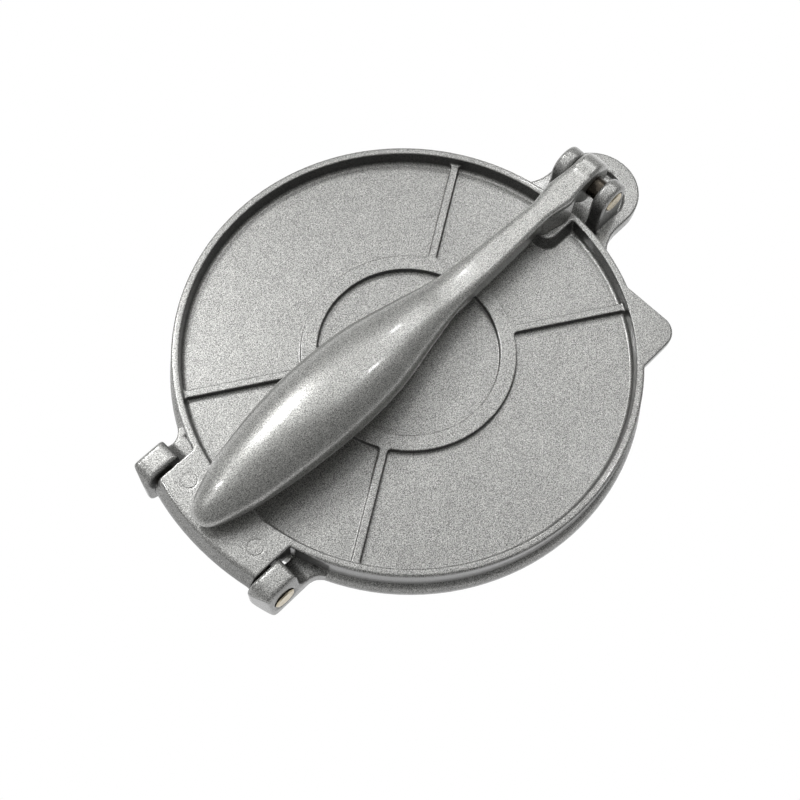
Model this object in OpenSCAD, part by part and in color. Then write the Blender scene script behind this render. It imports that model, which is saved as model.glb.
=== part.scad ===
// Cast aluminium press for flattening dough into thin rounds.
// X runs along the press: the plate hinge at -X, the lever pivot at +X. Z = 0 is the table.
// The press is drawn shut, with the lever folded over the plate.

/* [Plates] */
// Outer diameter of the upper plate
plate_d = 206; // [196:1:214]
// Height of the upper plate, from its pressing face to its rim
plate_h = 12; // [11.6:0.2:13]
// Depth of the dished top below the rim
dish_depth = 7; // [5.5:0.5:7.5]
// Width of the rim at its top
rim_w = 3.3; // [2.8:0.1:4.5]
// Height of the lower plate, from the table to its pressing face
base_h = 7.6; // [7:0.2:9]
// Gap between the two pressing faces when the press is shut
face_gap = 0.4; // [0.3:0.1:0.6]
// How far the foot of the lower plate stands out past the upper plate
foot_flare = 2.6; // [1.5:0.1:4]

/* [Stiffening] */
// Inner radius of the raised ring
ring_in_r = 40.3; // [34:0.1:42]
// Outer radius of the raised ring
ring_out_r = 47.4; // [45:0.1:52]
// Height of the ring and the ribs above the dished floor
rib_h = 3; // [2:0.5:4]
// Width of a radial rib
rib_w = 3.5; // [2.5:0.5:5]
// Angle of each radial rib off the long axis of the press
rib_angle = 31.8; // [28:0.1:40]

/* [Plate hinge] */
// Distance of the hinge axis from the plate centre
hinge_x = 113.4; // [113:0.1:114]
// Height of the hinge axis above the table
hinge_z = 11.2; // [11.2:0.1:12]
// Width of the hinge tongue on the upper plate
tongue_w = 58.4; // [54:0.2:58.6]
// Thickness of each hinge ear along the pin, at its foot
hinge_ear_t = 11.7; // [9:0.1:12]
// Space between the tongue and each ear
tongue_gap = 1.3; // [0.6:0.1:2]

/* [Lever mounting] */
// Distance of the lever pivot from the plate centre
pivot_x = 117.5; // [117:0.1:118.5]
// Height of the lever pivot above the table
pivot_z = 24.5; // [24:0.1:25.5]
// Clear width between the two lever ears
fork_gap = 17.2; // [16.8:0.1:18]
// Thickness of each lever ear
fork_ear_t = 7.2; // [5:0.2:7.6]
// End radius of the front tab that carries the ears
tab_r = 21.5; // [20.5:0.5:24]

/* [Lever] */
// Width of the lever hub
hub_w = 11.6; // [10:0.2:12]
// Radius of the lever hub
hub_r = 11; // [10.6:0.2:11.6]
// Greatest width of the swelled grip
grip_w = 39; // [34:0.2:42]
// Greatest height of the swelled grip
grip_h = 24; // [20:0.5:26]
// How far the lever has slid along its pin, towards +Y
side_play = 2.4; // [0:0.1:2.4]

/* [Pins] */
// Diameter of the three steel pins
pin_d = 10; // [8:0.5:10]
// Radial running clearance round a pin
pin_play = 0.06; // [0.03:0.01:0.09]
// How far each pin end stands out of its ear
pin_proud = 0.4; // [0.1:0.1:1]

/* [Hidden] */
$fn = 96;

eps = 0.02;
bite = 0.15;
edge = 0.5;
plate_r = plate_d / 2;
foot_r = plate_r + foot_flare;
plate_z = base_h + face_gap;
rim_z = plate_z + plate_h;
floor_z = rim_z - dish_depth;
pin_r = pin_d / 2;
bore_r = pin_r + pin_play;

// Wall of the dish: it leans outwards and turns into the floor through a fillet
wall_lean = 0.8;
dish_r = plate_r - rim_w;
dish_fillet = 1.2;

// Underside of the lower plate
hollow_depth = 3.4;
foot_w = 4.5;
flank_r = 5.2;

// Plate hinge
hinge_pos = [-hinge_x, 0, hinge_z];
tongue_r = 122;
tongue_bulge = 2.4;
tongue_barrel_r = 7.8;
mark_x = 108.9;
mark_y = 20;
mark_r = 3.6;
hinge_ear_in = tongue_w / 2 + tongue_gap;
hinge_ear_out = hinge_ear_in + hinge_ear_t;
hinge_ear_top = rim_z + 2.6;
hinge_ear_back = 8.2;
hinge_ear_front = 10.2;
hinge_ear_taper = 2.6;
hinge_ear_draft = 1.4;
hinge_face = hinge_ear_out - hinge_ear_draft * (hinge_z - base_h) / (hinge_ear_top - base_h);
arm_fillet = 7;

// Lever mounting
pivot_pos = [pivot_x, 0, pivot_z];
fork_out = fork_gap / 2 + fork_ear_t;
fork_ear_r = 8.7;
fork_edge = 1.8;
hub_edge = 2.6;
tab_x = 126.6;
tab_fillet = 20;
pocket_r = fork_gap / 2 + fork_ear_t + 0.4;
pocket_end = 139.6;
pocket_depth = 3.2;

// Strike pad on the rim, and the lift tab beside it
pad_half = 7.4;
pad_in_x = 82.6;
pad_corner = 5;
pad_draft = 2;
lift_x = 91;
lift_y = 78.5;
lift_corner = 8.5;
lift_t = 5;

// Places a shape drawn in the XZ plane upright, centred on y and t thick
module upright(y, t)
    translate([0, y + t / 2, 0]) rotate([90, 0, 0]) linear_extrude(t) children();

// A cylinder along Y, centred on the point pos
module cross_rod(pos, r, y0, y1)
    translate([pos[0], y0, pos[2]]) rotate([-90, 0, 0]) cylinder(h = y1 - y0, r = r);

// Material that fills the corner between a disc and a straight edge at the height y,
// and ends in a concave arc tangent to both. The edge runs away from the disc towards +X.
module edge_fillet(disc_r, y, r) {
    cx = sqrt(pow(disc_r + r, 2) - pow(y + r, 2));
    inner = 0.9 * disc_r / (disc_r + r);
    difference() {
        polygon([[cx * inner, y - 1], [cx * inner, (y + r) * inner], [cx, y + r], [cx, y - 1]]);
        translate([cx, y + r]) circle(r);
    }
}

// The same for the corner between a straight edge and the wall of a round recess around it
module wall_fillet(recess_r, y, r) {
    cx = sqrt(pow(recess_r - r, 2) - pow(y + r, 2));
    outer = (recess_r + 0.5) / (recess_r - r);
    difference() {
        polygon([[cx, y - 1], [cx, y + r], [cx * outer, (y + r) * outer], [cx * outer, y - 1]]);
        translate([cx, y + r]) circle(r);
    }
}

// Ring and four ribs that stiffen a dished face, h above its floor, with filleted corners.
// The ribs run out to the wall of the recess, at the radius wall_r.
module stiffeners(h, wall_r) {
    fillet_r = 1.6;
    difference() {
        cylinder(h = h, r = ring_out_r, $fn = 120);
        translate([0, 0, -1]) cylinder(h = h + 2, r = ring_in_r, $fn = 120);
    }
    mid_r = (ring_in_r + ring_out_r) / 2;
    for (a = [rib_angle, -rib_angle, 180 - rib_angle, 180 + rib_angle]) rotate(a) {
        translate([mid_r, -rib_w / 2, 0]) cube([wall_r + 0.5 - mid_r, rib_w, h]);
        linear_extrude(h) for (s = [1, -1]) scale([1, s]) {
            edge_fillet(ring_out_r, rib_w / 2, fillet_r);
            wall_fillet(wall_r, rib_w / 2, fillet_r);
        }
    }
}

// Lower plate: flat pressing face, rounded flank that widens towards the foot, hollow underside
module lower_disc() {
    difference() {
        rotate_extrude($fn = 180) {
            polygon([[0, 0], [foot_r - edge, 0], [foot_r, edge], [foot_r, base_h - flank_r],
                     [foot_r - flank_r, base_h - flank_r], [foot_r - flank_r, base_h], [0, base_h]]);
            intersection() {
                translate([foot_r - flank_r, base_h - flank_r]) circle(flank_r);
                translate([foot_r - flank_r - 1, base_h - flank_r - 1]) square(flank_r + 1);
            }
        }
        translate([0, 0, -1]) cylinder(h = hollow_depth + 1, r = foot_r - foot_w, $fn = 180);
    }
    stiffeners(hollow_depth + eps, foot_r - foot_w);
}

// Raises an outline that grows out of the lower plate to the height of its pressing face.
// Its root is buried in the plate above the hollow and stops in the foot below it.
module from_lower_disc() {
    root_z = hollow_depth + 0.8;
    linear_extrude(base_h) difference() {
        children();
        circle(foot_r - foot_w / 2, $fn = 180);
    }
    translate([0, 0, root_z]) linear_extrude(base_h - root_z) difference() {
        children();
        circle(plate_r - 9, $fn = 180);
    }
}

// Outline of the front tab with its two flared roots
module tab_outline() {
    translate([tab_x, 0]) circle(tab_r);
    translate([plate_r - 8, -tab_r]) square([tab_x - plate_r + 8, 2 * tab_r]);
    for (s = [1, -1]) scale([1, s]) edge_fillet(foot_r - bite, tab_r, tab_fillet);
}

// Outline of the pocket in the tab, which the ears stand in
module pocket_outline() {
    inner_x = plate_r + 2.2;
    translate([pocket_end - pocket_r, 0]) circle(pocket_r);
    translate([inner_x, -pocket_r]) square([pocket_end - pocket_r - inner_x, 2 * pocket_r]);
}

module front_tab() difference() {
    from_lower_disc() tab_outline();
    translate([0, 0, base_h - pocket_depth]) linear_extrude(pocket_depth + 1) pocket_outline();
}

// Disc about the lever pivot from y0 to y0 + t, with edges rounded to edge_r
module pivot_disc(r, y0, t, edge_r)
    translate([pivot_x, y0 + t, pivot_z]) rotate([90, 0, 0]) rotate_extrude() {
        square([r - edge_r, t]);
        translate([0, edge_r]) square([r, t - 2 * edge_r]);
        for (z = [edge_r, t - edge_r]) translate([r - edge_r, z]) circle(edge_r, $fn = 32);
    }

// One lever ear between y0 and y0 + t, with rounded edges all round
module fork_ear(y0, t) {
    foot_z = base_h - pocket_depth - eps;
    pivot_disc(fork_ear_r, y0, t, fork_edge);
    translate([pivot_x, y0 + t / 2, foot_z]) linear_extrude(pivot_z - foot_z) {
        square([2 * (fork_ear_r - fork_edge), t], center = true);
        square([2 * fork_ear_r, t - 2 * fork_edge], center = true);
        for (sx = [1, -1], sy = [1, -1])
            translate([sx * (fork_ear_r - fork_edge), sy * (t / 2 - fork_edge)])
                circle(fork_edge, $fn = 32);
    }
}

// Side view of a hinge ear: a block on the table with a flat top and three rounded corners,
// and a saddle that runs down to the arm
module hinge_ear_profile() {
    low_r = 5;
    high_r = 7.2;
    top_r = 3;
    saddle_r = 6;
    x0 = -hinge_x - hinge_ear_front;
    x1 = -hinge_x + hinge_ear_back;
    difference() {
        translate([x0, 0]) square([x1 - x0, hinge_ear_top]);
        translate([x0 - 1, -1]) square([low_r + 1, low_r + 1]);
        translate([x0 - 1, hinge_ear_top - high_r]) square([high_r + 1, high_r + 1]);
        translate([x1 - top_r, hinge_ear_top - top_r]) square(top_r + 1);
    }
    translate([x0 + low_r, low_r]) circle(low_r);
    translate([x0 + high_r, hinge_ear_top - high_r]) circle(high_r);
    translate([x1 - top_r, hinge_ear_top - top_r]) circle(top_r);
    difference() {
        translate([x1 - 1, base_h - 1]) square([saddle_r, saddle_r]);
        translate([x1 + saddle_r - bite, base_h + saddle_r - bite]) circle(saddle_r);
    }
}

// Plan of a hinge ear: its outer end narrows, with one rounded corner
module hinge_ear_plan() {
    corner_r = 2.4;
    x0 = -hinge_x - hinge_ear_front;
    x_end = x0 + hinge_ear_taper;
    polygon([[x0 - 0.6, hinge_ear_in], [x_end - 0.2, hinge_ear_out - corner_r],
             [x_end + corner_r, hinge_ear_out], [-hinge_x + 20, hinge_ear_out],
             [-hinge_x + 20, hinge_ear_in]]);
    translate([x_end + corner_r, hinge_ear_out - corner_r]) circle(corner_r);
}

// Points of an arc from the angle a0 to a1, for a rounded corner in a polygon
function arc(c, r, a0, a1) = [for (i = [0:5]) let (a = a0 + (a1 - a0) * i / 5) c + r * [cos(a), sin(a)]];

// End view of a hinge ear: its outer face leans inwards above the lower plate, its top edges are round
module hinge_ear_end() {
    out_r = 1.6;
    in_r = 1.5;
    lean = atan(hinge_ear_draft / (hinge_ear_top - base_h));
    out_x = hinge_ear_out - hinge_ear_draft - out_r;
    polygon(concat([[hinge_ear_in, -1], [hinge_ear_out, -1], [hinge_ear_out, base_h]],
                   arc([out_x, hinge_ear_top - out_r], out_r, lean, 90),
                   arc([hinge_ear_in + in_r, hinge_ear_top - in_r], in_r, 90, 180)));
}

module hinge_ear() intersection() {
    upright((hinge_ear_in + hinge_ear_out) / 2, hinge_ear_t + 1) hinge_ear_profile();
    linear_extrude(hinge_ear_top + 1) hinge_ear_plan();
    translate([-hinge_x - 20, 0, 0]) rotate([90, 0, 90]) linear_extrude(40) hinge_ear_end();
}

// Arm between the lower plate and one ear, with a filleted root
module hinge_arm() from_lower_disc() {
    translate([hinge_ear_back - hinge_x - 2, hinge_ear_in]) square([12, hinge_ear_t]);
    mirror([1, 0]) edge_fillet(foot_r - bite, hinge_ear_out, arm_fillet);
}

// Bore for a pin from y0 to its mouth at y1, which is countersunk
module pin_bore(pos, y0, y1) {
    sink = 0.7;
    cross_rod(pos, pin_r, y0, y1 + 1);
    translate([pos[0], y1 - sink, pos[2]]) rotate([-90, 0, 0])
        cylinder(h = 2 * sink, r1 = pin_r, r2 = pin_r + 2 * sink);
}

module base_casting() color("#8f9090") difference() {
    union() {
        lower_disc();
        front_tab();
        for (s = [1, -1]) scale([1, s, 1]) {
            fork_ear(fork_gap / 2, fork_ear_t);
            hinge_arm();
            hinge_ear();
        }
    }
    for (s = [1, -1]) scale([1, s, 1]) {
        pin_bore(hinge_pos, hinge_ear_in - 1, hinge_face);
        pin_bore(pivot_pos, fork_gap / 2 - 1, fork_out);
    }
}

// Plan of the hinge tongue: straight sides and an edge concentric with the plate
module tongue_outline(r) intersection() {
    circle(r, $fn = 180);
    translate([-plate_r - 40, -tongue_w / 2]) square([50, tongue_w]);
}

// Tongue with a rolled top edge, a bulged outer wall and the barrel that takes the hinge pins
module tongue() {
    roll = 2.6;
    lip = [[tongue_r - roll, plate_z - 2], [tongue_r + tongue_bulge - 1.6, plate_z - 1.2],
           [tongue_r + tongue_bulge - 0.4, plate_z + 1], [tongue_r + tongue_bulge, hinge_z + 1],
           [tongue_r + tongue_bulge - 0.6, hinge_z + 3.6], [tongue_r, rim_z - roll],
           [tongue_r - roll, rim_z - roll]];
    difference() {
        union() {
            translate([0, 0, plate_z]) linear_extrude(plate_h) tongue_outline(tongue_r - roll);
            intersection() {
                rotate_extrude($fn = 180) union() {
                    translate([tongue_r - roll, rim_z - roll]) circle(roll);
                    polygon(lip);
                }
                linear_extrude(rim_z) tongue_outline(tongue_r + tongue_bulge);
            }
            cross_rod(hinge_pos, tongue_barrel_r, -tongue_w / 2, tongue_w / 2);
        }
        translate([0, 0, plate_z - 1]) cylinder(h = plate_h + 2, r = dish_r + 0.8, $fn = 180);
        translate([0, 0, -1]) cylinder(h = plate_z + 1, r = foot_r + 0.6, $fn = 180);
    }
}

module lift_tab() {
    cx = lift_x - lift_corner;
    cy = lift_y - lift_corner;
    translate([0, 0, rim_z - lift_t]) linear_extrude(lift_t) difference() {
        union() {
            translate([60, -lift_y]) square([cx - 60, lift_y - 40]);
            translate([60, -cy]) square([lift_x - 60, cy - 40]);
            translate([cx, -cy]) circle(lift_corner);
        }
        circle(dish_r + 0.8, $fn = 180);
    }
}

// Plan of the strike pad, grown by g all round where it stands on the dished floor
module pad_outline(g) {
    for (s = [1, -1]) translate([pad_in_x + pad_corner, s * (pad_half - pad_corner)])
        circle(pad_corner + g, $fn = 32);
    translate([dish_r - 1, -pad_half - g]) square([1.8, 2 * (pad_half + g)]);
}

// Raised pad that the lever bears on: level with the rim, with drafted sides
module strike_pad() hull() {
    translate([0, 0, floor_z - eps]) linear_extrude(eps) pad_outline(pad_draft);
    translate([0, 0, rim_z - eps]) linear_extrude(eps) pad_outline(0);
}

// Two round marks that the casting die leaves on the tongue
module die_marks()
    for (s = [1, -1]) translate([-mark_x, s * mark_y, rim_z - 0.3]) difference() {
        cylinder(h = 1, r = mark_r);
        translate([0, 0, -1]) cylinder(h = 3, r = mark_r - 0.7);
    }

module press_plate() color("#a3a4a3") difference() {
    union() {
        rotate_extrude($fn = 180) difference() {
            polygon([[0, plate_z], [plate_r - edge, plate_z], [plate_r, plate_z + edge],
                     [plate_r, rim_z - edge], [plate_r - edge, rim_z], [0, rim_z]]);
            polygon([[0, floor_z], [dish_r - wall_lean - dish_fillet, floor_z],
                     [dish_r - wall_lean - dish_fillet * 0.3, floor_z + dish_fillet * 0.3],
                     [dish_r - wall_lean, floor_z + dish_fillet], [dish_r, rim_z + eps],
                     [0, rim_z + eps]]);
        }
        translate([0, 0, floor_z - eps]) stiffeners(rib_h + eps, dish_r - 0.5);
        strike_pad();
        lift_tab();
        tongue();
    }
    cross_rod(hinge_pos, bore_r, -tongue_w / 2 - 1, tongue_w / 2 + 1);
    die_marks();
}

// Lever stations from the hub to the grip end:
// place along X, height of the section's middle above the rim, half width, half height, squareness.
// A squareness of 2 makes an ellipse and a larger one a rounded box.
grip_stations = [
    [115, 12.0, 0.5 * hub_w - 0.1, 2.6, 5.0],
    [109, 11.8, 0.5 * hub_w - 0.1, 2.7, 5.0],
    [103, 11.4, 6.4, 2.7, 4.4],
    [98, 11.1, 6.8, 2.6, 4.0],
    [91, 10.9, 5.8, 2.5, 4.0],
    [82, 10.8, 5.2, 2.5, 4.0],
    [50, 10.8, 6.7, 2.6, 4.0],
    [26, 11.6, 8.6, 4.0, 3.0],
    [5, 12.9, 0.65 * grip_w / 2, 0.62 * grip_h / 2, 2.4],
    [-20, 13.4, 0.92 * grip_w / 2, 0.9 * grip_h / 2, 2.2],
    [-45, 13.6, grip_w / 2, grip_h / 2, 2.1],
    [-66, 13.2, 0.945 * grip_w / 2, 0.95 * grip_h / 2, 2.1],
    [-84, 12.1, 0.825 * grip_w / 2, 0.82 * grip_h / 2, 2.1],
    [-100, 10.4, 0.66 * grip_w / 2, 0.65 * grip_h / 2, 2.1],
    [-111, 8.6, 0.465 * grip_w / 2, 0.465 * grip_h / 2, 2.1],
    [-117, 7.4, 0.3 * grip_w / 2, 0.31 * grip_h / 2, 2.1],
    [-119.4, 7.0, 0.13 * grip_w / 2, 0.13 * grip_h / 2, 2.1],
    [-119.6, 7.0, 0.01 * grip_w / 2, 0.01 * grip_h / 2, 2.1]];
web_stations = [
    [88, 5.9, 4.6, 5.2, 6.0],
    [80, 5.8, 4.6, 5.2, 6.0],
    [72, 5.2, 5.1, 5.9, 6.0],
    [50, 5.2, 6.0, 5.9, 6.0],
    [24, 5.6, 6.8, 6.1, 5.0],
    [2, 8.0, 7.0, 4.8, 4.0],
    [-16, 11.0, 5.0, 3.0, 3.0]];

// Cubic through the four values a, b, c and d, between b at t = 0 and c at t = 1
function ease(a, b, c, d, t) =
    b + 0.5 * t * (c - a + t * (2 * a - 5 * b + 4 * c - d + t * (3 * (b - c) + d - a)));

// Section of a loft at the position u, counted in stations
function section_at(rows, u) =
    let (n = len(rows) - 1, i = min(floor(u), n - 1), t = u - i,
         a = rows[max(i - 1, 0)], b = rows[i], c = rows[i + 1], d = rows[min(i + 2, n)])
    [for (k = [0:4]) ease(a[k], b[k], c[k], d[k], t)];

function signed_power(v, p) = sign(v) * pow(abs(v), p);

// Outline points of one section, on a rounded box of the given squareness
function section_ring(s, sides) =
    [for (k = [0:sides - 1]) let (a = 360 * (k + 0.5) / sides)
        [s[0], s[2] * signed_power(cos(a), 2 / s[4]), rim_z + s[1] + s[3] * signed_power(sin(a), 2 / s[4])]];

// Smooth solid through a list of stations, closed by a flat face at each end
module loft(rows, sides, steps) {
    count = (len(rows) - 1) * steps;
    rings = [for (j = [0:count]) section_ring(section_at(rows, j / steps), sides)];
    points = [for (ring = rings) each ring];
    walls = [for (j = [0:count - 1], k = [0:sides - 1])
        let (m = (k + 1) % sides, p = j * sides, q = p + sides)
        each [[p + k, p + m, q + m], [p + k, q + m, q + k]]];
    first = [for (k = [sides - 1:-1:0]) k];
    last = [for (k = [0:sides - 1]) count * sides + k];
    polyhedron(points, concat(walls, [first, last]), convexity = 6);
}

// Side view of the lever behind the grip: neck, and the cam that bears on the strike pad
cam_x = 89;
cam_z = rim_z + 0.35;
heel_top = rim_z + 11.8;
module heel_profile() {
    polygon([[pivot_x, pivot_z + 6], [108, heel_top], [80, heel_top - 0.8],
             [80, rim_z + 6], [81.5, rim_z + 1.2], [84, cam_z + 0.2],
             [cam_x - 3, cam_z], [cam_x + 3, cam_z], [97, cam_z + 0.6], [99.6, rim_z + 3],
             [107, rim_z + 2.5], [pivot_x, pivot_z - 2]]);
}

// Plan of the heel at one level, from x0 to x1, half as wide as w0 and w1 give, with round corners
module heel_plan(x0, w0, x1, w1) {
    corner_r = 1.6;
    for (s = [1, -1]) {
        translate([x0 + corner_r, s * (w0 - corner_r)]) circle(corner_r, $fn = 24);
        translate([x1 - corner_r, s * (w1 - corner_r)]) circle(corner_r, $fn = 24);
    }
}

// Block under the arm that flares to a wide foot on the pad, hollowed on each side behind the web
module heel_block() {
    scoop_r = 9;
    scoop_x = 79;
    difference() {
        hull() {
            translate([0, 0, cam_z]) linear_extrude(eps) heel_plan(82.5, 6.2, 99.6, 8.8);
            translate([0, 0, rim_z + 11.4]) linear_extrude(eps) heel_plan(82.5, 5, 104, 6.6);
        }
        for (s = [1, -1]) translate([scoop_x, s * (4.5 + scoop_r), rim_z - 2])
            cylinder(h = 10.4, r = scoop_r);
    }
}

module lever_heel() intersection() {
    upright(0, 40) heel_profile();
    union() {
        heel_block();
        translate([97, -hub_w / 2, 0]) cube([60, hub_w, 60]);
        translate([79, -4.5, 0]) cube([9, 9, rim_z + 11.4]);
    }
}

module lever() color("#9b9c9c") translate([0, side_play, 0]) difference() {
    union() {
        loft(grip_stations, 40, 5);
        loft(web_stations, 28, 3);
        lever_heel();
        pivot_disc(hub_r, -hub_w / 2, hub_w, hub_edge);
    }
    cross_rod(pivot_pos, bore_r, -20, 20);
}

// A pin with softened ends, along Y from y0 to y1
module steel_pin(pos, y0, y1)
    translate([pos[0], y0, pos[2]]) rotate([-90, 0, 0]) rotate_extrude()
        polygon([[0, 0], [pin_r - 0.5, 0], [pin_r, 0.5], [pin_r, y1 - y0 - 0.5],
                 [pin_r - 0.5, y1 - y0], [0, y1 - y0]]);

hinge_pin_in = 8;
module lever_pin() color("#c9c4b8") steel_pin(pivot_pos, -fork_out - pin_proud, fork_out + pin_proud);
module hinge_pin_left() color("#c9c4b8") steel_pin(hinge_pos, hinge_pin_in, hinge_face + pin_proud);
module hinge_pin_right() color("#c9c4b8") steel_pin(hinge_pos, -hinge_face - pin_proud, -hinge_pin_in);

base_casting();
press_plate();
lever();
lever_pin();
hinge_pin_left();
hinge_pin_right();
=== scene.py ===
import math

import bmesh
import bpy
from mathutils import Matrix, Vector


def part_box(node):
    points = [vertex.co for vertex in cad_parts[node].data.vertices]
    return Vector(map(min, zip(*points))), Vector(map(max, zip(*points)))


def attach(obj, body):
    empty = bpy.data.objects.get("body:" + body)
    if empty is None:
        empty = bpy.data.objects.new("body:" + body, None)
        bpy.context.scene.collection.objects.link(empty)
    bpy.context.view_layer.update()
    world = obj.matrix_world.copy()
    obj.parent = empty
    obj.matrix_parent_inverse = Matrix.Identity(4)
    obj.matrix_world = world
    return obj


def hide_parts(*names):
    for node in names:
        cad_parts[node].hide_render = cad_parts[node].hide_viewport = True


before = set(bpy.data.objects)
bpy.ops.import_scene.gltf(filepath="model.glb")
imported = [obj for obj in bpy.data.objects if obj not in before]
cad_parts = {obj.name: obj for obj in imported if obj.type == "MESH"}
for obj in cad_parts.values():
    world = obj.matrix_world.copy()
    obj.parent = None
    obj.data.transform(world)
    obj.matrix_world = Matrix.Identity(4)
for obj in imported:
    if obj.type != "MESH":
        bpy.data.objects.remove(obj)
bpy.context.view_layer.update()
mm = 0.001
print("frame loaded:", ", ".join(sorted(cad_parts)))


def linearColor(hexText, alpha=1.0):
    # sRGB hex to the linear values that the shader sockets take
    parts = [int(hexText[i:i + 2], 16) / 255 for i in (1, 3, 5)]
    return [c / 12.92 if c <= 0.04045 else ((c + 0.055) / 1.055) ** 2.4 for c in parts] + [alpha]


def addNode(tree, kind, settings=None, inputs=None, links=None):
    # settings are node properties, inputs are socket values, links are socket -> output socket
    node = tree.nodes.new(kind)
    for name, value in (settings or {}).items():
        setattr(node, name, value)
    for name, value in (inputs or {}).items():
        node.inputs[name].default_value = value
    for name, output in (links or {}).items():
        tree.links.new(output, node.inputs[name])
    return node


def newMaterial(name):
    material = bpy.data.materials.new(name)
    material.use_nodes = True
    material.node_tree.nodes.clear()
    return material, material.node_tree


def linkPiece(name, bm, material, body):
    mesh = bpy.data.meshes.new(name)
    bm.to_mesh(mesh)
    bm.free()
    piece = bpy.data.objects.new(name, mesh)
    bpy.context.scene.collection.objects.link(piece)
    mesh.materials.append(material)
    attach(piece, body)
    return piece


# Paint of the castings
coatLook = {
    "paint": "#a7a7a5",       # silver-grey of the flake paint in plain light
    "shade": "#5f5f5c",       # darker grains between the flakes
    "spark": "#e4e4e0",       # flakes that face the light
    "toneStops": (0.34, 0.5, 0.68),   # noise values at which shade, paint and spark lie
    "paintedShadeOnWalls": 0.4,        # brightness left on steep walls, a painted shade
    "steepToFlat": (0.15, 0.8),       # upward part of the normal of a steep wall and of a flat
    "grainSize": 0.42,        # mm, coarser than the real 0.2 mm so that it shows at this distance
    "flakesPerGrain": 1.3,    # cells of the roughness to a grain
    "cloudSize": 9,           # mm, faint clouds where the spray lies thicker
    "cloudShare": (0.93, 1.04),       # brightness in the clouds, least and most
    "textureHeight": 0.035,   # mm, sand-cast skin under the paint
    "textureShare": (0.12, 0.4),      # how much of that skin shows on steep walls and on flats
    "metallic": 0.72,
    "roughness": 0.42,
    "roughnessSpread": 0.1,
    "coat": 0.8,
    "coatRoughness": 0.12,
}
# The dish's steep walls get a deeper painted shade
plateLook = dict(coatLook, paintedShadeOnWalls=0.17)
# The grip is rubbed smoother by the hand that sprays and packs it; its paint is set lighter and
# its steep walls less darkened, as painted light
gripLook = dict(coatLook, paint="#b4b4b1", shade="#6e6e6b", spark="#e8e8e4", paintedShadeOnWalls=0.75,
                textureHeight=0.03, metallic=0.68, roughness=0.36, coat=1.0, coatRoughness=0.1)


def makeCoat(name, look):
    # Silver flake paint baked on an as-cast aluminium skin: grainy, half-metallic, softly glossy,
    # with painted shade on its steep walls
    material, tree = newMaterial(name)
    coords = addNode(tree, "ShaderNodeTexCoord")
    # the grain is turned off the axes, since a level cut through the noise would show its lattice
    place = addNode(tree, "ShaderNodeMapping", inputs={"Rotation": (0.5, 0.4, 0.3)},
                    links={"Vector": coords.outputs["Object"]}).outputs["Vector"]

    # 0 on steep walls, 1 on flats
    axes = addNode(tree, "ShaderNodeSeparateXYZ", links={"Vector": coords.outputs["Normal"]})
    upward = addNode(tree, "ShaderNodeMath", {"operation": "ABSOLUTE"},
                     links={0: axes.outputs["Z"]})
    steep, level = look["steepToFlat"]
    flat = addNode(tree, "ShaderNodeMapRange", inputs={"From Min": steep, "From Max": level},
                   links={"Value": upward.outputs["Value"]}).outputs["Result"]

    grainScale = 1 / (look["grainSize"] * mm)
    grain = addNode(tree, "ShaderNodeTexNoise",
                    inputs={"Scale": grainScale, "Detail": 2.0, "Roughness": 0.6},
                    links={"Vector": place})
    flakes = addNode(tree, "ShaderNodeTexVoronoi",
                     inputs={"Scale": grainScale * look["flakesPerGrain"]},
                     links={"Vector": place})
    cloud = addNode(tree, "ShaderNodeTexNoise",
                    inputs={"Scale": 1 / (look["cloudSize"] * mm), "Detail": 3.0},
                    links={"Vector": place})

    tone = addNode(tree, "ShaderNodeValToRGB", links={"Fac": grain.outputs["Fac"]})
    stops = tone.color_ramp.elements
    stops.new(0.5)
    for stop, position, hexName in zip(stops, look["toneStops"], ("shade", "paint", "spark")):
        stop.position = position
        stop.color = linearColor(look[hexName])
    # painted shade: steep walls are darker, down to the share of brightness given for them
    wallShade = addNode(tree, "ShaderNodeMapRange", inputs={"To Min": look["paintedShadeOnWalls"]},
                      links={"Value": flat})
    thin, thick = look["cloudShare"]
    clouded = addNode(tree, "ShaderNodeMapRange",
                      inputs={"From Min": 0.3, "From Max": 0.7, "To Min": thin, "To Max": thick},
                      links={"Value": cloud.outputs["Fac"]})
    light = addNode(tree, "ShaderNodeMath", {"operation": "MULTIPLY"},
                    links={0: wallShade.outputs["Result"], 1: clouded.outputs["Result"]})
    color = addNode(tree, "ShaderNodeVectorMath", {"operation": "SCALE"},
                    links={0: tone.outputs["Color"], "Scale": light.outputs["Value"]})

    rough = addNode(tree, "ShaderNodeMapRange",
                    inputs={"To Min": look["roughness"] - look["roughnessSpread"],
                            "To Max": look["roughness"] + look["roughnessSpread"]},
                    links={"Value": flakes.outputs["Distance"]})
    least, most = look["textureShare"]
    depth = addNode(tree, "ShaderNodeMapRange", inputs={"To Min": least, "To Max": most},
                    links={"Value": flat})
    bump = addNode(tree, "ShaderNodeBump", inputs={"Distance": look["textureHeight"] * mm},
                   links={"Height": grain.outputs["Fac"], "Strength": depth.outputs["Result"]})
    shader = addNode(tree, "ShaderNodeBsdfPrincipled",
                     inputs={"Metallic": look["metallic"], "Coat Weight": look["coat"],
                             "Coat Roughness": look["coatRoughness"]},
                     links={"Base Color": color.outputs["Vector"],
                            "Roughness": rough.outputs["Result"],
                            "Normal": bump.outputs["Normal"]})
    addNode(tree, "ShaderNodeOutputMaterial", links={"Surface": shader.outputs["BSDF"]})
    return material


# Steel of the pins
steelLook = {
    "steel": "#c4b9a2",       # cut face of plain carbon steel, slightly warm
    "paintedSideShade": "#4d4841",      # sides darkened brown, a painted shade
    "sideToEnd": (0.4, 0.7),  # part of the normal along the pin at which the side turns to the end
    "roughness": (0.2, 0.39),
    "spotSize": 1.4,          # mm, duller and brighter spots
    "ringSpacing": 2.2,       # mm between the cutting marks on the ends, coarser than real ones
    "ringDepth": 0.02,        # mm
    "ringShare": 0.35,
}


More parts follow.
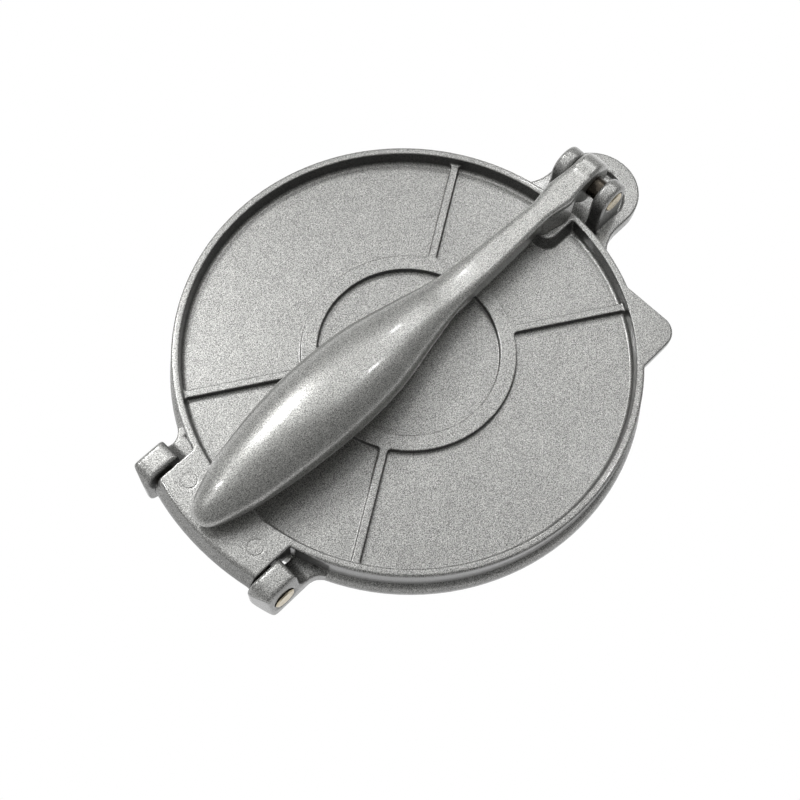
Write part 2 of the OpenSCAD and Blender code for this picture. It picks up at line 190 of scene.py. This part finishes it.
def makeSteel(name, look, axisPoint):
    # Cut carbon steel rod: bright ends with fine rings, its sides darkened brown as painted shade
    material, tree = newMaterial(name)
    coords = addNode(tree, "ShaderNodeTexCoord")
    place = coords.outputs["Object"]
    axes = addNode(tree, "ShaderNodeSeparateXYZ", links={"Vector": coords.outputs["Normal"]})
    endward = addNode(tree, "ShaderNodeMath", {"operation": "ABSOLUTE"},
                      links={0: axes.outputs["Y"]})
    sideEnd, endStart = look["sideToEnd"]
    cut = addNode(tree, "ShaderNodeMapRange", inputs={"From Min": sideEnd, "From Max": endStart},
                  links={"Value": endward.outputs["Value"]})
    # painted shade: the sides of the pin take the dark colour, the ends the bright steel
    # sockets 6 and 7, and output 2, are the colour ones of this node
    color = addNode(tree, "ShaderNodeMix", {"data_type": "RGBA"},
                    {6: linearColor(look["paintedSideShade"]), 7: linearColor(look["steel"])},
                    {0: cut.outputs["Result"]})

    centred = addNode(tree, "ShaderNodeMapping", inputs={"Location": [-c for c in axisPoint]},
                      links={"Vector": place})
    waveAtScaleOne = 2 * math.pi / 20   # metres from ring to ring in this node at a scale of 1
    rings = addNode(tree, "ShaderNodeTexWave", {"wave_type": "RINGS", "rings_direction": "Y"},
                    {"Scale": waveAtScaleOne / (look["ringSpacing"] * mm),
                     "Distortion": 1.2, "Detail": 2.0},
                    {"Vector": centred.outputs["Vector"]})
    bump = addNode(tree, "ShaderNodeBump",
                   inputs={"Strength": look["ringShare"], "Distance": look["ringDepth"] * mm},
                   links={"Height": rings.outputs["Fac"]})

    spots = addNode(tree, "ShaderNodeTexNoise",
                    inputs={"Scale": 1 / (look["spotSize"] * mm), "Detail": 4.0},
                    links={"Vector": place})
    bright, dull = look["roughness"]
    rough = addNode(tree, "ShaderNodeMapRange",
                    inputs={"From Min": 0.3, "From Max": 0.7, "To Min": bright, "To Max": dull},
                    links={"Value": spots.outputs["Fac"]})
    shader = addNode(tree, "ShaderNodeBsdfPrincipled", inputs={"Metallic": 1.0},
                     links={"Base Color": color.outputs[2], "Roughness": rough.outputs["Result"],
                            "Normal": bump.outputs["Normal"]})
    addNode(tree, "ShaderNodeOutputMaterial", links={"Surface": shader.outputs["BSDF"]})
    return material


castCoat = makeCoat("silverFlakePaint", coatLook)
plateCoat = makeCoat("silverFlakePaintDish", plateLook)
gripCoat = makeCoat("rubbedFlakePaintPaintedLight", gripLook)
print("paint made: base, dish and grip")


# Castings: the solids' shapes with the soft edges and filled corners of a real casting.
# voxel is the mesh size of the skin in mm, rounds is how often it is smoothed, and triangles is
# how many it keeps. The hinge ears and the hand-finished grip are smoothed softRounds times more,
# in full up to the first x of softZone and not past the second, in mm.
castings = {
    "base_casting": {
        "piece": "baseCasting", "body": "base", "slot": "base_coat", "material": castCoat,
        "voxel": 0.45, "rounds": 2, "triangles": 190000,
        "softRounds": 16, "softZone": (-101, -97),
    },
    "press_plate": {
        "piece": "pressPlate", "body": "plate", "slot": "plate_coat", "material": plateCoat,
        "voxel": 0.42, "rounds": 1, "triangles": 195000,
    },
    "lever": {
        "piece": "leverCasting", "body": "lever", "slot": "lever_coat", "material": gripCoat,
        "voxel": 0.45, "rounds": 2, "triangles": 180000,
        "softRounds": 50, "softZone": (24, 50),
    },
}
weldDistance = 0.002 * mm
smoothFactor = 0.5


def applyModifiers(piece):
    depsgraph = bpy.context.evaluated_depsgraph_get()
    mesh = bpy.data.meshes.new_from_object(piece.evaluated_get(depsgraph))
    piece.modifiers.clear()
    piece.data = mesh
    return mesh


def addSmooth(piece, name, rounds):
    smooth = piece.modifiers.new(name, "SMOOTH")
    smooth.factor = smoothFactor
    smooth.iterations = rounds
    return smooth


def dropSpecks(mesh):
    # the voxel skin can leave specks where two surfaces meet: only the outermost shell stays
    bm = bmesh.new()
    bm.from_mesh(mesh)
    start = min(bm.verts, key=lambda v: v.co.x)
    reached = {start}
    front = [start]
    while front:
        for edge in front.pop().link_edges:
            for vertex in edge.verts:
                if vertex not in reached:
                    reached.add(vertex)
                    front.append(vertex)
    bmesh.ops.delete(bm, geom=[v for v in bm.verts if v not in reached], context="VERTS")
    bm.to_mesh(mesh)
    bm.free()


def softenCasting(node, look):
    bm = bmesh.new()
    bm.from_mesh(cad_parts[node].data)
    bmesh.ops.remove_doubles(bm, verts=bm.verts, dist=weldDistance)
    piece = linkPiece(look["piece"], bm, look["material"], look["body"])
    remesh = piece.modifiers.new("castSkin", "REMESH")
    remesh.mode = "VOXEL"
    remesh.voxel_size = look["voxel"] * 1 * mm
    skin = applyModifiers(piece)
    triangles = sum(len(p.vertices) - 2 for p in skin.polygons)

    addSmooth(piece, "softEdges", look["rounds"])
    if "softRounds" in look:
        full, none = look["softZone"]
        soft = piece.vertex_groups.new(name="soft")
        for vertex in skin.vertices:
            weight = min(1.0, (none - vertex.co.x / mm) / (none - full))
            if weight > 0:
                soft.add([vertex.index], weight, "REPLACE")
        addSmooth(piece, "polish", look["softRounds"]).vertex_group = "soft"
    if triangles > look["triangles"]:
        thin = piece.modifiers.new("thin", "DECIMATE")
        thin.ratio = look["triangles"] / triangles
    skin = applyModifiers(piece)
    dropSpecks(skin)

    piece.vertex_groups.clear()
    skin.name = look["piece"]
    skin.materials.clear()
    skin.materials.append(look["material"])
    for polygon in skin.polygons:
        polygon.use_smooth = True
    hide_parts(node)
    print(look["piece"], "has", len(skin.polygons), "faces, from", triangles)


for node, look in castings.items():
    softenCasting(node, look)

# Pins: the solids themselves, in steel
for node in ("lever_pin", "hinge_pin_left", "hinge_pin_right"):
    low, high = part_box(node)
    steel = makeSteel(node + "Steel", steelLook, (low + high) / 2)
    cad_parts[node].data.materials.clear()
    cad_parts[node].data.materials.append(steel)
print("pins finished in steel")

# Die marks: two discs that the ejector pins leave on the tongue, in mm
markLook = {
    "places": ((-108.9, 20), (-108.9, -20)),
    "radius": 3.2,
    "thickness": 0.6,
    "tongueTop": 20.0,
    "proud": 0.25,            # height above the tongue
    "edge": 0.12,             # bevel of the upper edge
}

for number, (x, y) in enumerate(markLook["places"], start=1):
    bm = bmesh.new()
    radius = markLook["radius"] * mm
    bmesh.ops.create_cone(bm, cap_ends=True, segments=64, radius1=radius, radius2=radius,
                          depth=markLook["thickness"] * mm)
    upperEdge = [e for e in bm.edges if all(v.co.z > 0 for v in e.verts)]
    bmesh.ops.bevel(bm, geom=upperEdge, offset=markLook["edge"] * mm, affect="EDGES", segments=2,
                    profile=0.5, material=-1)
    z = markLook["tongueTop"] + markLook["proud"] - markLook["thickness"] / 2
    bmesh.ops.translate(bm, verts=bm.verts, vec=Vector((x, y, z)) * mm)
    linkPiece(f"dieMark{number}", bm, plateCoat, "plate")
print("die marks set on the tongue")

# Table: paper that looks white to the camera and in reflections, and keeps the shadow
tableLook = {"paper": "#f4f4f4", "reach": 3.0}   # reach in metres, from the middle to the edge

bm = bmesh.new()
bmesh.ops.create_grid(bm, x_segments=1, y_segments=1, size=tableLook["reach"])
tableMesh = bpy.data.meshes.new("table")
bm.to_mesh(tableMesh)
bm.free()
table = bpy.data.objects.new("table", tableMesh)
bpy.context.scene.collection.objects.link(table)
white, tree = newMaterial("paperWhite")
path = addNode(tree, "ShaderNodeLightPath")
seen = addNode(tree, "ShaderNodeMath", {"operation": "MAXIMUM"},
               links={0: path.outputs["Is Camera Ray"], 1: path.outputs["Is Glossy Ray"]})
seen = addNode(tree, "ShaderNodeMath", {"operation": "MAXIMUM"},
               links={0: seen.outputs["Value"], 1: path.outputs["Is Transmission Ray"]})
paper = addNode(tree, "ShaderNodeBsdfDiffuse", inputs={"Color": linearColor(tableLook["paper"])})
glow = addNode(tree, "ShaderNodeEmission", inputs={"Color": (1, 1, 1, 1), "Strength": 1.0})
mix = addNode(tree, "ShaderNodeMixShader",
              links={0: seen.outputs["Value"], 1: paper.outputs["BSDF"],
                     2: glow.outputs["Emission"]})
addNode(tree, "ShaderNodeOutputMaterial", links={"Surface": mix.outputs["Shader"]})
tableMesh.materials.append(white)

# Studio: lit walls, the far one lighter, and darker overhead
studioLook = {
    "horizon": 0.42,
    "overhead": 0.2,
    "overheadFrom": 0.45,     # upward part of the direction past which it is overhead
    "nearWall": 0.7,
    "farWall": 1.7,
}

world = bpy.data.worlds.new("studio")
bpy.context.scene.world = world
world.use_nodes = True
tree = world.node_tree
tree.nodes.clear()
path = addNode(tree, "ShaderNodeLightPath")
coords = addNode(tree, "ShaderNodeTexCoord")
axes = addNode(tree, "ShaderNodeSeparateXYZ", links={"Vector": coords.outputs["Generated"]})
height = addNode(tree, "ShaderNodeMapRange",
                 inputs={"From Max": studioLook["overheadFrom"],
                         "To Min": studioLook["horizon"], "To Max": studioLook["overhead"]},
                 links={"Value": axes.outputs["Z"]})
depth = addNode(tree, "ShaderNodeMapRange",
                inputs={"From Min": -1.0, "To Min": studioLook["nearWall"],
                        "To Max": studioLook["farWall"]},
                links={"Value": axes.outputs["Y"]})
room = addNode(tree, "ShaderNodeMath", {"operation": "MULTIPLY"},
               links={0: height.outputs["Result"], 1: depth.outputs["Result"]})
strength = addNode(tree, "ShaderNodeMath", {"operation": "MAXIMUM"},
                   links={0: path.outputs["Is Camera Ray"], 1: room.outputs["Value"]})
sky = addNode(tree, "ShaderNodeBackground", inputs={"Color": (1, 1, 1, 1)},
              links={"Strength": strength.outputs["Value"]})
addNode(tree, "ShaderNodeOutputWorld", links={"Surface": sky.outputs["Background"]})

# Lamps: azimuth and elevation in degrees from the middle of the table, distance and size in
# metres, power in watts
lamps = {
    "farSoftbox": {"azimuth": 98, "elevation": 57, "distance": 0.9,
                   "size": (0.3, 0.24), "power": 1.45},
    "farLamp": {"azimuth": 90, "elevation": 54, "distance": 0.9,
                "size": (0.05, 0.05), "power": 0.75},
    "leftLamp": {"azimuth": 140, "elevation": 47, "distance": 0.9,
                 "size": (0.04, 0.06), "power": 0.6},
    "sideLamp": {"azimuth": 27, "elevation": 50, "distance": 0.9,
                 "size": (0.035, 0.035), "power": 0.08},
    "rightLamp": {"azimuth": -8, "elevation": 66, "distance": 0.9,
                  "size": (0.045, 0.045), "power": 0.17},
    "lowFill": {"azimuth": 16, "elevation": 46, "distance": 1.0,
                "size": (0.34, 0.26), "power": 0.48},
    "topFill": {"azimuth": 33, "elevation": 67, "distance": 1.1,
                "size": (0.76, 0.7), "power": 1.65},
}

for name, look in lamps.items():
    lamp = bpy.data.lights.new(name, "AREA")
    lamp.shape = "RECTANGLE"
    lamp.size, lamp.size_y = look["size"]
    lamp.energy = look["power"]
    holder = bpy.data.objects.new(name, lamp)
    bpy.context.scene.collection.objects.link(holder)
    turn, rise = math.radians(look["azimuth"]), math.radians(look["elevation"])
    level = math.cos(rise)
    away = Vector((level * math.cos(turn), level * math.sin(turn), math.sin(rise)))
    holder.location = away * look["distance"]
    holder.rotation_euler = away.to_track_quat("Z", "Y").to_euler()
print("table, studio and lamps set")

# Camera: back points from the target to the camera, target and distance in mm, tilt in degrees
cameraLook = {
    "target": (-21.2, -15.3, 20),
    "back": (-0.3030, -0.2516, 0.9192),
    "distance": 507.3,
    "tilt": 5.49,
    "lens": 53.54,
    "sensor": 36,
    "nearest": 10,            # mm, what is nearer isn't drawn
}

back = Vector(cameraLook["back"]).normalized()
up = (Vector((0, 0, 1)) - back * back.z).normalized()
side = up.cross(back)
tilt = math.radians(cameraLook["tilt"])
cameraUp = up * math.cos(tilt) - side * math.sin(tilt)
cameraSide = cameraUp.cross(back)
spot = (Vector(cameraLook["target"]) + back * cameraLook["distance"]) * mm
lensData = bpy.data.cameras.new("camera")
lensData.lens = cameraLook["lens"]
lensData.sensor_width = cameraLook["sensor"]
lensData.clip_start = cameraLook["nearest"] * mm
camera = bpy.data.objects.new("camera", lensData)
bpy.context.scene.collection.objects.link(camera)
camera.matrix_world = Matrix((
    (cameraSide.x, cameraUp.x, back.x, spot.x),
    (cameraSide.y, cameraUp.y, back.y, spot.y),
    (cameraSide.z, cameraUp.z, back.z, spot.z),
    (0, 0, 0, 1)))
bpy.context.scene.camera = camera
bpy.context.scene.view_settings.view_transform = "Standard"
print("camera set")

bpy.context.view_layer.update()
